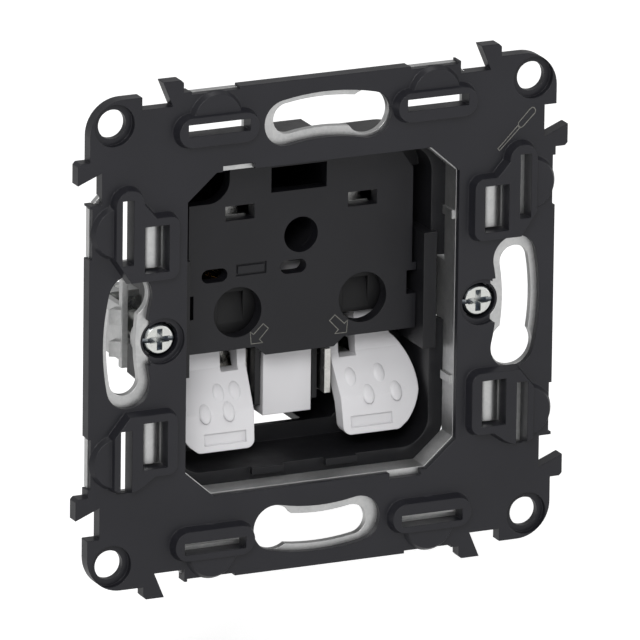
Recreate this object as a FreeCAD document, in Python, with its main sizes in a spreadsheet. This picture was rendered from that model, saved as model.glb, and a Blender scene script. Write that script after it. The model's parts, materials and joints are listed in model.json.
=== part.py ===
import FreeCAD, Part
import math
import os
import Sketcher

# Two-pin wall socket mechanism without its cover plate, in millimetres.
# X runs to the right, Z up and Y into the wall. The origin is the centre of the
# wall face, where the back of the chassis plate meets the wall.

Vector = FreeCAD.Vector

# Marks a corner of an outline where a half circle starts.
ROUND = "half circle"

# How near an edge must be to a corner to be taken as the one there.
NEAR = 0.02

# Every driving size: its name in the sheet, its value and what it is.
SIZES = [
    ("overcut", 1.0, "how far a cut or a root runs past the face it starts from"),
    ("frame_side", 70.4, "outer side of the square support frame"),
    ("frame_thick", 2.0, "support frame, front face to wall face"),
    ("frame_corner", 5.0, "corner radius of the support frame"),
    ("steel_thick", 1.0, "chassis plate sheet"),
    ("steel_inset", 1.0, "frame edge to the plate's edge"),
    ("steel_chamfer", 13.6, "cut corner of the plate"),
    ("seat_gap", 0.1, "clearance round the plate in the frame's back"),
    ("tab_place", 24.0, "centre to each tab and notch pair"),
    ("tab_shift", 0.4, "pairs turned this far round the frame"),
    ("pair_half", 3.1, "half length of a tab and notch pair"),
    ("tab_reach", 1.8, "how far a tab stands out, and how deep a notch goes"),
    ("tab_root", 1.5, "pair centre to the slanted flank at the notch floor"),
    ("tab_tip", 0.0, "pair centre to the slanted flank at the tip"),
    ("tab_cut", 0.4, "cut at a tab's outer corner"),
    ("hole_inset", 3.6, "frame edge to the middle of each corner hole"),
    ("hole_radius", 2.1, "corner hole"),
    ("dish_radius", 3.0, "dished ring round a corner hole"),
    ("dish_deep", 0.9, "depth of that ring"),
    ("slot_inset", 5.4, "frame edge to the middle line of the fixing slots"),
    ("slot_half", 3.3, "half width of a fixing slot in the plastic"),
    ("slot_narrow_at", 11.3, "angle of a slot's narrow end from its middle"),
    ("slot_wide_at", 13.2, "angle of a slot's wide end from its middle"),
    ("stud_inset", 5.2, "frame edge to the middle line of the plate's slots"),
    ("stud_half", 2.2, "half width of a fixing slot in the plate"),
    ("stud_narrow_at", 10.0, "angle of the plate slot's narrow end"),
    ("keyhole_at", 13.0, "angle of the plate slot's wide end"),
    ("keyhole_radius", 3.2, "wide end of the plate's slots"),
    ("window_x", 20.55, "half width of the eight-sided opening"),
    ("window_z", 23.25, "half height of the eight-sided opening"),
    ("window_cut_x", 4.3, "cut corner of the opening, across"),
    ("window_cut_z", 3.8, "cut corner of the opening, up"),
    ("nick_from", 10.5, "start of the small step in the opening's edge"),
    ("nick_to", 15.3, "end of the small step in the opening's edge"),
    ("nick_deep", 0.8, "depth of the small step"),
    ("pad_rise", 1.45, "height of the raised clip pads"),
    ("pad_slope", 16.0, "slope of the clip pads' sides, degrees"),
    ("pad_place", 16.5, "middle of each clip pad along its side"),
    ("pad_inset", 5.5, "frame edge to the middle line of the clip pads"),
    ("pad_half", 2.5, "half width of a clip pad"),
    ("pad_span", 3.9, "half distance between a clip pad's round ends"),
    ("disc_inset", 4.1, "frame edge to the middle of the round bosses"),
    ("disc_radius", 4.0, "round boss at its foot"),
    ("disc_rise", 0.8, "height of the round bosses"),
    ("disc_slope", 32.0, "slope of the round bosses' sides, degrees"),
    ("clip_inset", 5.15, "frame edge to the middle line of the clip slots"),
    ("clip_half", 0.85, "half width of a clip slot"),
    ("clip_span", 4.65, "half length of a clip slot"),
    ("plate_clip_in", 2.1, "clip slot's middle to its inner edge in the plate"),
    ("plate_clip_out", 0.3, "clip slot's middle to its outer edge in the plate"),
    ("grip_inset", 9.5, "frame edge to the middle of the side windows"),
    ("grip_high_shift", 2.75, "clip slot's middle down to the upper side windows"),
    ("grip_low_shift", 2.1, "clip slot's middle up to the lower side windows"),
    ("grip_half_x", 1.85, "half width of a side window"),
    ("grip_half_z", 3.35, "half height of a side window"),
    ("grip_border_x", 1.9, "clip pad beside a side window"),
    ("grip_border_z", 1.5, "clip pad above and below a side window"),
    ("hood_round", 1.8, "rounding of the pads round the side windows"),
    ("hood_slant", 1.6, "slanted side between a clip slot's pad and a side window's, across"),
    ("hump_half", 1.6, "half width of the plate's bulge behind a side window"),
    ("hump_rise", 0.9, "height of that bulge"),
    ("lug_half", 3.6, "half length of the plate's edge lugs"),
    ("lug_inset", 0.3, "frame edge to the plate's edge lugs"),
    ("claw_x", 24.15, "centre to each claw screw"),
    ("screw_radius", 1.75, "claw screw thread"),
    ("head_radius", 2.4, "claw screw head"),
    ("head_thick", 1.8, "claw screw head"),
    ("head_cut", 0.45, "bevel of the claw screw heads"),
    ("drive_slot", 0.3, "half width of the slot across a claw screw head"),
    ("drive_slot_deep", 0.6, "depth of that slot"),
    ("drive_arm", 1.5, "half length of the cross recess"),
    ("drive_blade", 0.4, "half width of the cross recess"),
    ("drive_deep", 1.1, "depth of the cross recess"),
    ("tip_cut", 0.6, "bevel at the claw screws' tips"),
    ("head_y", -1.0, "front of the claw screw heads"),
    ("screw_end", 15.5, "tip of the claw screws"),
    ("recess_radius", 3.3, "dished edge round a claw screw's collar"),
    ("recess_deep", 0.7, "depth of that dish"),
    ("collar_bore", 2.6, "inside of the collar round a claw screw head"),
    ("collar_wall", 0.25, "wall of that collar"),
    ("collar_end", 0.7, "rear end of that collar"),
    ("throat_start", 1.7, "screw centre to the start of the way to the slot"),
    ("throat_half", 3.2, "half width of the way from the screw to the slot"),
    ("cup_radius", 2.9, "inside of the pressed cup under a screw head"),
    ("cup_wall", 0.5, "wall of that cup"),
    ("rim_end", 2.5, "rear edge of the plate's folded rim"),
    ("guide_end", 5.0, "rear edge of the deeper stretch of that rim"),
    ("guide_half", 4.3, "half height of that stretch"),
    ("guide_shift", 1.0, "that stretch sits this far above the middle"),
    ("rib_out", 0.35, "how far the rim's pressed ribs stand in"),
    ("rib_upper", 12.7, "centre to the upper pressed ribs"),
    ("rib_lower", 11.2, "centre to the lower pressed ribs"),
    ("rib_half", 0.6, "half height of a pressed rib"),
    ("rim_gap", 0.3, "gap between the folded rim and the housing"),
    ("housing_front", 4.2, "front edge of the housing"),
    ("housing_back", 25.3, "back edge of the housing"),
    ("waist_y", 15.0, "where the housing narrows"),
    ("tail_x", 16.8, "half width of the housing's rear part"),
    ("tail_z", 20.4, "half height of the housing's rear part"),
    ("tail_cut_x", 7.4, "cut corners of the rear part, across"),
    ("tail_cut_high", 5.2, "upper cut corners of the rear part, down"),
    ("tail_cut_low", 6.9, "lower cut corners of the rear part, up"),
    ("flange_thick", 1.2, "housing flange behind the folded rim"),
    ("housing_wall", 1.0, "housing wall"),
    ("housing_corner", 5.0, "outer corner radius of the housing"),
    ("housing_x", 20.2, "half width of the housing"),
    ("housing_z", 22.8, "half height of the housing"),
    ("hook_at", 5.6, "centre to the housing's holding tabs"),
    ("hook_half", 2.4, "half length of a holding tab"),
    ("hook_reach", 0.9, "how far a holding tab stands out of the housing's front edge"),
    ("block_x", 17.75, "centre to the side blocks' inner faces"),
    ("block_low", -7.5, "lower end of the side blocks"),
    ("block_high", 9.3, "upper end of the side blocks"),
    ("block_front", 3.2, "front of the side blocks"),
    ("rib_x", 3.95, "centre to the housing ribs"),
    ("rib_thick", 0.8, "housing ribs"),
    ("rib_low", -15.0, "lower end of the ribs"),
    ("rib_front", 10.0, "front of the ribs behind the shutter"),
    ("post_x", 12.6, "centre to the corner posts"),
    ("post_z", 17.6, "centre to the corner posts, up"),
    ("post_front", 8.6, "front of the corner posts"),
    ("post_round", 3.0, "rounded inner edge of the corner posts"),
    ("cover_thick", 1.2, "rear cover"),
    ("escape_half", 4.6, "half width of the rear cover's lower notch"),
    ("escape_high", 1.9, "height of the rear cover's lower notch"),
    ("wire_near", 8.0, "centre to the inner wire entries"),
    ("wire_far", 14.0, "centre to the outer wire entries"),
    ("wire_z", -11.2, "height of the wire entries"),
    ("wire_radius", 1.6, "wire entries"),
    ("insert_front", 5.5, "face of the front insert"),
    ("insert_thick", 2.0, "front insert"),
    ("insert_x", 17.0, "half width of the insert, upper part"),
    ("insert_wing", 17.65, "half width of the insert, lower part"),
    ("wing_top", 4.5, "top of the insert's wider part"),
    ("insert_top", 21.5, "top edge of the insert"),
    ("insert_low", -5.0, "lower edge of the insert at its sides"),
    ("apron_low", -6.3, "lower edge of the insert in the middle"),
    ("apron_half", 5.2, "half width of that lower edge"),
    ("apron_step", 6.7, "where the edge starts to drop"),
    ("latch_x", 16.2, "bottom of the latch notches"),
    ("latch_low", 0.0, "lower end of the latch notches"),
    ("latch_high", 3.4, "upper end of the latch notches"),
    ("scoop_x", -10.9, "inner side of the upper left cut-out"),
    ("scoop_z", 16.4, "lower side of the upper left cut-out"),
    ("scoop_round", 3.2, "rounding of that cut-out"),
    ("bevel_x", 2.2, "cut at the insert's upper right corner, across"),
    ("bevel_z", 3.2, "cut at the insert's upper right corner, down"),
    ("pin_pitch", 19.0, "between the two pin holes"),
    ("pin_z", 0.35, "height of the pin holes"),
    ("pin_hole", 3.62, "pin hole radius in the insert"),
    ("fixing_z", 10.5, "height of the cover screw hole"),
    ("fixing_radius", 2.55, "cover screw hole"),
    ("mouth_left", -4.6, "left side of the top opening"),
    ("mouth_right", 3.8, "right side of the top opening"),
    ("mouth_low", 17.0, "lower side of the top opening"),
    ("mouth_high", 20.6, "upper side of the top opening"),
    ("hook_x", 9.3, "centre to the hook windows"),
    ("hook_z", 14.7, "height of the hook windows"),
    ("hook_window_x", 2.2, "half width of a hook window"),
    ("hook_window_z", 1.05, "half height of a hook window"),
    ("key_left", -13.05, "middle of the left key slot"),
    ("key_right", -1.1, "middle of the right key slot"),
    ("key_z", 6.0, "height of the key slots"),
    ("key_radius", 0.97, "half height of a key slot"),
    ("key_span", 0.98, "half distance between a key slot's ends"),
    ("label_x", -7.5, "middle of the sunk label place"),
    ("label_z", 6.4, "height of the sunk label place"),
    ("label_half_x", 2.3, "half width of the label place"),
    ("label_half_z", 0.85, "half height of the label place"),
    ("label_line", 0.3, "groove round the label place"),
    ("label_deep", 0.3, "depth of that groove"),
    ("shutter_gap", 0.5, "clearance in front of and behind the shutter"),
    ("shutter_thick", 1.3, "shutter"),
    ("shutter_in", 5.6, "centre to the shutter's pads"),
    ("shutter_out", 13.6, "centre to the shutter's outer ends"),
    ("shutter_top", 4.2, "top of the shutter"),
    ("shutter_low", -3.6, "bottom of the shutter, left"),
    ("shutter_right_low", -2.4, "bottom of the shutter, right"),
    ("bar_top", -1.6, "top of the shutter's bar"),
    ("ramp_half", 1.9, "half width of a shutter ramp"),
    ("ramp_high", 4.4, "height of a shutter ramp"),
    ("ramp_deep", 0.9, "depth of a shutter ramp at its top"),
    ("spring_radius", 1.05, "shutter spring, middle of the wire"),
    ("spring_wire", 0.2, "shutter spring wire radius"),
    ("spring_turns", 3.5, "shutter spring turns"),
    ("ledge_low", 12.6, "under side of the spring ledges"),
    ("ledge_high", 13.3, "top of the spring ledges"),
    ("ledge_half", 1.7, "half width of a spring ledge"),
    ("ledge_deep", 3.2, "how far a spring ledge stands back"),
    ("contact_front", 10.1, "front of the contact sleeves"),
    ("contact_back", 20.0, "back of the contact sleeves"),
    ("contact_bore", 2.15, "contact sleeve, inside"),
    ("contact_wall", 0.6, "contact sleeve sheet"),
    ("contact_slit", 0.9, "slit between a sleeve's two leaves"),
    ("contact_ring", 2.5, "closed ring behind the leaves"),
    ("tail_thick", 0.9, "contact tail"),
    ("tail_half", 1.9, "half height of the contact tail"),
    ("web_x", 5.0, "centre to the terminal bars"),
    ("web_thick", 0.9, "terminal bar sheet"),
    ("web_front", 8.0, "front of the terminal bars"),
    ("web_front_left", 12.0, "front of the left terminal bar"),
    ("web_back", 24.0, "back of the terminal bars"),
    ("web_high", -7.4, "top of the terminal bars in front"),
    ("web_low", -13.8, "bottom of the terminal bars"),
    ("web_step", 19.0, "where the terminal bars rise to the contacts"),
    ("web_top", 2.2, "top of the terminal bars behind"),
    ("shelf_z", -13.0, "top of the wire shelf"),
    ("shelf_front", 16.0, "front of the wire shelf"),
    ("shelf_end", 14.7, "outer end of the wire shelf"),
    ("leaf_thick", 0.5, "clamp spring strip"),
    ("leaf_half", 1.5, "half width of a clamp spring leaf"),
    ("leaf_front", 17.5, "front of the clamp springs' upper arms"),
    ("leaf_back", 24.5, "fold of the clamp springs"),
    ("leaf_top", -5.6, "top of the clamp springs"),
    ("leaf_tip_y", 17.9, "tip of the clamp springs, depth"),
    ("leaf_tip_z", -12.3, "tip of the clamp springs, height"),
    ("saddle_thick", 1.2, "housing ledge that carries a clamp spring"),
    ("saddle_in", 6.3, "centre to a ledge's inner end"),
    ("column_x", 3.65, "half width of the centre block"),
    ("column_front", 9.6, "face of the centre block"),
    ("column_back", 25.0, "back of the centre block"),
    ("column_low", -16.5, "lower end of the centre block"),
    ("column_top", 5.8, "upper end of the centre block"),
    ("boss_radius", 4.35, "housing boss for the cover screw"),
    ("boss_deep", 12.0, "depth of the bore in that boss"),
    ("pilot_radius", 1.3, "small bore at the bottom of that boss"),
    ("lever_in_top", 6.2, "centre to a lever's inner edge, top"),
    ("lever_in_low", 6.85, "centre to a lever's inner edge, bottom"),
    ("lever_top", -3.1, "top of the levers"),
    ("lever_low", -19.4, "bottom of the levers"),
    ("lever_out_top", 14.0, "centre to a lever's top outer corner"),
    ("lever_neck_x", 15.6, "centre to where a lever's bow starts"),
    ("lever_neck_z", -6.7, "height where a lever's bow starts"),
    ("lever_bow", 8.2, "radius of a lever's bow"),
    ("lever_heel_x", 16.6, "centre to where a lever's bow ends"),
    ("lever_heel_z", -18.4, "height where a lever's bow ends"),
    ("lever_toe_x", 15.3, "centre to a lever's lower outer corner"),
    ("lever_round", 1.2, "rounding of a lever's lower corners"),
    ("tip_y", 5.0, "lever face at its bottom"),
    ("bend_y", 6.0, "lever face at its bend"),
    ("bend_z", -14.2, "height of a lever's bend"),
    ("slope_y", 9.4, "lever face at the top of the slope"),
    ("slope_z", -8.6, "height of the top of the slope"),
    ("nose_y", 10.2, "lever face at its top"),
    ("lever_thick", 2.2, "lever, front to back"),
    ("pivot_y", 11.9, "lever pivots"),
    ("pivot_z", -5.7, "lever pivots"),
    ("hub_radius", 1.8, "lever hub"),
    ("lever_pin", 0.8, "lever pin radius"),
    ("pin_clearance", 0.05, "running clearance of the lever on its pin"),
    ("test_in", 7.7, "inner side of a lever's test notch"),
    ("test_out", 10.3, "outer side of a lever's test notch"),
    ("test_low", -9.2, "bottom of a lever's test notch"),
    ("slit_in", 8.0, "inner end of a lever's screwdriver slot"),
    ("slit_out", 14.3, "outer end of a lever's screwdriver slot"),
    ("slit_low", -18.5, "lower side of a lever's screwdriver slot"),
    ("slit_high", -16.9, "upper side of a lever's screwdriver slot"),
    ("slit_deep", 0.5, "depth of a lever's screwdriver slot"),
    ("finger_z", -11.3, "height of a lever's finger"),
    ("finger_half", 0.9, "half height of a lever's finger"),
    ("finger_x", 11.0, "centre to a lever's finger"),
    ("finger_end", 17.4, "rear end of a lever's finger"),
    ("nut_half", 2.65, "half side of a claw nut"),
    ("nut_front", 11.2, "front of the claw nuts"),
    ("nut_thick", 2.2, "claw nuts"),
    ("thread_clearance", 0.05, "clearance between claw nut and screw"),
    ("trunnion_radius", 0.9, "trunnions of a claw nut"),
    ("claw_half", 3.9, "half height of a claw's ears"),
    ("claw_sheet", 0.9, "claw sheet"),
    ("claw_out", 28.0, "centre to a claw's outer face"),
    ("claw_in", 22.4, "centre to a claw's ears' inner ends"),
    ("claw_front", 3.2, "front edge of a claw"),
    ("claw_back", 14.3, "rear edge of a claw"),
    ("claw_low", -4.9, "lower end of a claw's arms"),
    ("claw_high", 7.8, "upper end of a claw's arms"),
    ("claw_arm", 1.0, "depth of a claw's arms"),
    ("ear_front", 10.2, "front of a claw's ears"),
    ("tooth_reach", 1.4, "how far a claw's teeth stand out"),
    ("tooth_long", 2.4, "length of a claw's teeth"),
    ("tooth_half", 1.1, "half width of a claw's tooth"),
    ("tooth_place", 2.3, "centre to a claw's teeth"),
    ("clip_strip", 0.4, "cover clip strip"),
    ("clip_low", 13.5, "lower end of the cover clips"),
    ("clip_high", 16.6, "upper end of the cover clips"),
    ("clip_mid", 14.4, "height of a cover clip's fold"),
    ("clip_back", 10.2, "depth of a cover clip's fold"),
    ("clip_half_x", 1.7, "half width of a cover clip"),
]


class Size:
    """A length or angle now, together with the sheet formula that gives it."""

    def __init__(self, value, formula):
        self.value = value
        self.formula = formula

    def __add__(self, other):
        return combined(self, "+", other)

    def __radd__(self, other):
        return combined(other, "+", self)

    def __sub__(self, other):
        return combined(self, "-", other)

    def __rsub__(self, other):
        return combined(other, "-", self)

    def __mul__(self, other):
        return combined(self, "*", other)

    def __rmul__(self, other):
        return combined(other, "*", self)

    def __truediv__(self, other):
        return combined(self, "/", other)

    def __neg__(self):
        return combined(0, "-", self)


def as_size(number):
    return number if isinstance(number, Size) else Size(float(number), repr(float(number)))


def combined(left, sign, right):
    left = as_size(left)
    right = as_size(right)
    value = {
        "+": lambda a, b: a + b,
        "-": lambda a, b: a - b,
        "*": lambda a, b: a * b,
        "/": lambda a, b: a / b,
    }[sign](left.value, right.value)
    return Size(value, "(%s %s %s)" % (left.formula, sign, right.formula))


def sine(angle):
    return Size(math.sin(math.radians(angle.value)), "sin(%s * 1 deg)" % angle.formula)


def cosine(angle):
    return Size(math.cos(math.radians(angle.value)), "cos(%s * 1 deg)" % angle.formula)


class Sizes:
    """The named sizes, as attributes."""


doc = FreeCAD.newDocument("two_pin_socket")
sheet = doc.addObject("Spreadsheet::Sheet", "sizes")
s = Sizes()
for row, (size_name, size_value, size_note) in enumerate(SIZES, start=1):
    sheet.set("A%d" % row, size_name)
    sheet.set("B%d" % row, str(size_value))
    sheet.set("C%d" % row, size_note)
    sheet.setAlias("B%d" % row, size_name)
    setattr(s, size_name, Size(size_value, "sizes." + size_name))
doc.recompute()

frame_half = s.frame_side / 2
s.steel_half = frame_half - s.steel_inset
s.hole_place = frame_half - s.hole_inset
s.slot_orbit = frame_half - s.slot_inset
s.stud_orbit = frame_half - s.stud_inset
s.pad_orbit = frame_half - s.pad_inset
s.disc_orbit = frame_half - s.disc_inset
s.clip_orbit = frame_half - s.clip_inset
s.lug_reach = frame_half - s.lug_inset
s.grip_x = frame_half - s.grip_inset
s.grip_high = s.pad_place - s.grip_high_shift
s.grip_low = s.pad_place - s.grip_low_shift


def tie(thing, prop, size):
    """Bind a property to the sheet."""
    size = as_size(size)
    thing.setExpression(prop, size.formula)


def new_body(label):
    body = doc.addObject("PartDesign::Body", label)
    body.Label = label
    return body


def origin_item(body, role):
    return [item for item in body.Origin.OriginFeatures if item.Role == role][0]


def new_sketch(body, role, offset):
    """A sketch on one of the body's own planes, moved along the plane's normal."""
    sketch = body.newObject("Sketcher::SketchObject", body.Name + "_sketch")
    sketch.AttachmentSupport = [(origin_item(body, role), "")]
    sketch.MapMode = "FlatFace"
    tie(sketch, "AttachmentOffset.Base.z", offset)
    return sketch


def front_sketch(body, y):
    """A sketch seen from the front, at depth y. Its X is across and its Y is up."""
    return new_sketch(body, "XZ_Plane", -as_size(y))


def side_sketch(body, x):
    """A sketch seen from the side, at x. Its X is the depth and its Y is up."""
    return new_sketch(body, "YZ_Plane", x)


def top_sketch(body, z):
    """A sketch seen from above, at height z. Its X is across and its Y is the depth."""
    return new_sketch(body, "XY_Plane", z)


def pin_point(sketch, geometry, point, across, up):
    """Fix one point of a sketch by two named distances from its origin."""
    across = as_size(across)
    up = as_size(up)
    index = sketch.addConstraint(
        Sketcher.Constraint("DistanceX", -1, 1, geometry, point, across.value))
    tie(sketch, "Constraints[%d]" % index, across)
    index = sketch.addConstraint(
        Sketcher.Constraint("DistanceY", -1, 1, geometry, point, up.value))
    tie(sketch, "Constraints[%d]" % index, up)


def set_radius(sketch, geometry, radius):
    radius = as_size(radius)
    index = sketch.addConstraint(Sketcher.Constraint("Radius", geometry, radius.value))
    tie(sketch, "Constraints[%d]" % index, radius)


def arc_geometry(start, end, radius):
    """An arc that turns left on its way from start to end."""
    chord = end - start
    half = chord.Length / 2
    side = Vector(-chord.y, chord.x, 0).normalize()
    centre = (start + end) / 2 + side * math.sqrt(max(radius ** 2 - half ** 2, 0))
    first = math.atan2(start.y - centre.y, start.x - centre.x)
    last = math.atan2(end.y - centre.y, end.x - centre.x)
    return Part.ArcOfCircle(Part.Circle(centre, Vector(0, 0, 1), radius), first, last)


def add_outline(sketch, corners):
    """A closed outline. A corner with a third value starts an arc to the next corner:
    a positive radius turns left on the way, a negative one right, ROUND is a half circle."""
    points = [Vector(as_size(c[0]).value, as_size(c[1]).value, 0) for c in corners]
    count = len(corners)
    starts = []
    ends = []
    for place, corner in enumerate(corners):
        start = points[place]
        end = points[(place + 1) % count]
        turns_right = False
        if len(corner) == 2:
            shape = Part.LineSegment(start, end)
        elif corner[2] is ROUND:
            shape = arc_geometry(start, end, (end - start).Length / 2)
        elif corner[2].value > 0:
            shape = arc_geometry(start, end, corner[2].value)
        else:
            shape = arc_geometry(end, start, -corner[2].value)
            turns_right = True
        index = sketch.addGeometry(shape, False)
        starts.append((index, 2 if turns_right else 1))
        ends.append((index, 1 if turns_right else 2))
    for place in range(count):
        after = (place + 1) % count
        smooth = len(corners[after]) == 3 and corners[after][2] is ROUND
        kind = "Tangent" if smooth else "Coincident"
        sketch.addConstraint(Sketcher.Constraint(kind, *ends[place], *starts[after]))
    for place, corner in enumerate(corners):
        pin_point(sketch, starts[place][0], starts[place][1], corner[0], corner[1])
        if len(corner) == 3 and corner[2] is not ROUND:
            radius = corner[2] if corner[2].value > 0 else -corner[2]
            set_radius(sketch, starts[place][0], radius)


def add_box(sketch, low_x, high_x, low_y, high_y):
    add_outline(sketch, [(low_x, low_y), (high_x, low_y), (high_x, high_y), (low_x, high_y)])


def add_round_box(sketch, half_x, half_z, radius):
    """A rectangle about the middle with rounded corners."""
    in_x = half_x - radius
    in_z = half_z - radius
    add_outline(sketch, [
        (half_x, -in_z), (half_x, in_z, radius), (in_x, half_z), (-in_x, half_z, radius),
        (-half_x, in_z), (-half_x, -in_z, radius), (-in_x, -half_z), (in_x, -half_z, radius),
    ])


def add_circle(sketch, x, y, radius):
    x = as_size(x)
    y = as_size(y)
    radius = as_size(radius)
    circle = Part.Circle(Vector(x.value, y.value, 0), Vector(0, 0, 1), radius.value)
    index = sketch.addGeometry(circle, False)
    pin_point(sketch, index, 3, x, y)
    set_radius(sketch, index, radius)


def add_obround(sketch, x, y, span, radius):
    """A level slot with round ends: span is half the distance between its end centres."""
    add_outline(sketch, [
        (x - span, y - radius), (x + span, y - radius, ROUND),
        (x + span, y + radius), (x - span, y + radius, ROUND),
    ])


def finish(body, feature):
    """Recompute, and stop where a feature has no sound shape."""
    doc.recompute()
    if feature.Shape.isNull() or "Invalid" in feature.State:
        raise ValueError("%s: %s %s" % (body.Name, feature.Name, feature.getStatusString()))
    return feature


def pad(body, sketch, length, taper=None):
    """Material from the sketch along its normal, towards the front for a front sketch."""
    feature = body.newObject("PartDesign::Pad", body.Name + "_pad")
    feature.Profile = sketch
    tie(feature, "Length", length)
    if taper is not None:
        tie(feature, "TaperAngle", taper)
    return finish(body, feature)


def pad_centred(body, sketch, length):
    feature = body.newObject("PartDesign::Pad", body.Name + "_pad")
    feature.Profile = sketch
    feature.Midplane = True
    tie(feature, "Length", length)
    return finish(body, feature)


def pocket(body, sketch, depth, towards_front=False):
    """A cut from the sketch into the wall, or towards the front. It must remove some."""
    before = body.Shape.Volume
    feature = body.newObject("PartDesign::Pocket", body.Name + "_pocket")
    feature.Profile = sketch
    feature.Reversed = towards_front
    tie(feature, "Length", depth)
    finish(body, feature)
    if not feature.Shape.Volume < before:
        raise ValueError(body.Name + ": a pocket cuts nothing")
    return feature


def pocket_through(body, sketch):
    before = body.Shape.Volume
    feature = body.newObject("PartDesign::Pocket", body.Name + "_pocket")
    feature.Profile = sketch
    feature.Type = 1
    feature.Midplane = True
    doc.recompute()
    if not feature.Shape.Volume < before:
        raise ValueError(body.Name + ": a pocket cuts nothing")
    return feature


def turn_copies(body, features, count):
    """Copies of features turned evenly about the depth axis."""
    pattern = body.newObject("PartDesign::PolarPattern", body.Name + "_turned")
    pattern.Originals = features
    pattern.Axis = (origin_item(body, "Y_Axis"), [""])
    pattern.Angle = 360
    pattern.Occurrences = count
    body.Tip = pattern
    return finish(body, pattern)


def mirror_copies(body, features, role):
    """Copies of features mirrored in one of the body's own planes."""
    pattern = body.newObject("PartDesign::Mirrored", body.Name + "_mirrored")
    pattern.Originals = features
    pattern.MirrorPlane = (origin_item(body, role), [""])
    body.Tip = pattern
    return finish(body, pattern)


def depth_edges(shape, places):
    """Names of the straight edges that run into the wall at the given x, z places."""
    names = []
    for number, edge in enumerate(shape.Edges, start=1):
        if len(edge.Vertexes) != 2:
            continue
        first = edge.Vertexes[0].Point
        last = edge.Vertexes[1].Point
        if abs(first.x - last.x) > 1e-4 or abs(first.z - last.z) > 1e-4:
            continue
        for x, z in places:
            if abs(first.x - x.value) < NEAR and abs(first.z - z.value) < NEAR:
                names.append("Edge%d" % number)
    return names


def edges_at_depth(shape, y, inside):
    """Names of the edges that lie wholly at depth y and pass a test on their middle."""
    names = []
    for number, edge in enumerate(shape.Edges, start=1):
        box = edge.BoundBox
        if abs(box.YMin - y) < 1e-4 and abs(box.YMax - y) < 1e-4 and inside(box):
            names.append("Edge%d" % number)
    return names


def round_edges(body, names, radius):
    if not names:
        raise ValueError(body.Name + ": no edge to round")
    base = body.Tip
    feature = body.newObject("PartDesign::Fillet", body.Name + "_round")
    feature.Base = (base, names)
    tie(feature, "Radius", radius)
    body.Tip = feature
    return finish(body, feature)


def bevel_edges(body, names, size):
    if not names:
        raise ValueError(body.Name + ": no edge to bevel")
    base = body.Tip
    feature = body.newObject("PartDesign::Chamfer", body.Name + "_bevel")
    feature.Base = (base, names)
    tie(feature, "Size", size)
    body.Tip = feature
    return finish(body, feature)


def eight_sides(half_x, half_z, cut_x, cut_z):
    """Corners of a rectangle whose four corners are cut off."""
    return [
        (half_x, -half_z + cut_z), (half_x, half_z - cut_z),
        (half_x - cut_x, half_z), (-half_x + cut_x, half_z),
        (-half_x, half_z - cut_z), (-half_x, -half_z + cut_z),
        (-half_x + cut_x, -half_z), (half_x - cut_x, -half_z),
    ]


def add_arc_slot(sketch, orbit, half, narrow_at, wide_at):
    """A slot that follows a circle round the origin, over the top of the part."""
    inner = orbit - half
    outer = orbit + half
    left_sine = sine(-narrow_at)
    left_cosine = cosine(narrow_at)
    right_sine = sine(wide_at)
    right_cosine = cosine(wide_at)
    add_outline(sketch, [
        (inner * left_sine, inner * left_cosine, -inner),
        (inner * right_sine, inner * right_cosine, ROUND),
        (outer * right_sine, outer * right_cosine, outer),
        (outer * left_sine, outer * left_cosine, ROUND),
    ])


def across_pair(side, low, high):
    """Two distances from the middle, in rising order on the given side."""
    return (low, high) if side > 0 else (-high, -low)


def make_support_frame():
    """Plastic frame: tabs and notches, slots, raised clip pads and the screw recesses."""
    body = new_body("support_frame")
    half = s.frame_side / 2
    sketch = front_sketch(body, 0)
    add_box(sketch, -half, half, -half, half)
    pad(body, sketch, s.frame_thick)
    corners = [(half, half), (-half, half), (-half, -half), (half, -half)]
    round_edges(body, depth_edges(body.Shape, corners), s.frame_corner)
    make_tabs(body, half)
    sketch = front_sketch(body, -s.frame_thick)
    add_outline(sketch, eight_sides(s.window_x, s.window_z, s.window_cut_x, s.window_cut_z))
    pocket_through(body, sketch)
    sketch = front_sketch(body, -s.frame_thick)
    low = s.window_z - s.overcut
    add_box(sketch, -s.nick_to, -s.nick_from, low, s.window_z + s.nick_deep)
    nick = pocket(body, sketch, s.frame_thick)
    turn_copies(body, [nick], 2)
    make_plate_seat(body)
    make_clip_pads(body)
    make_corner_holes(body)
    make_frame_slots(body)
    return body


def pair_places():
    return [-s.tab_place - s.tab_shift, s.tab_place - s.tab_shift]


def make_tabs(body, half):
    """Interlocking tabs and notches, two pairs a side."""
    floor = half - s.tab_reach
    tip = half + s.tab_reach
    sketch = front_sketch(body, -s.frame_thick)
    for place in pair_places():
        add_outline(sketch, [
            (place - s.pair_half, floor), (place + s.tab_root, floor),
            (place + s.tab_tip, tip), (place - s.pair_half, tip),
        ])
    notches = pocket(body, sketch, s.frame_thick)
    sketch = front_sketch(body, 0)
    for place in pair_places():
        add_outline(sketch, [
            (place + s.tab_root, floor), (place + s.pair_half, floor),
            (place + s.pair_half, tip), (place + s.tab_tip, tip),
        ])
    tabs = pad(body, sketch, s.frame_thick)
    turn_copies(body, [notches, tabs], 4)
    reach = s.pair_half
    places = []
    for place in pair_places():
        across = place + reach
        places += [(across, tip), (tip, -across), (-across, -tip), (-tip, across)]
    bevel_edges(body, depth_edges(body.Shape, places), s.tab_cut)


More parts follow.
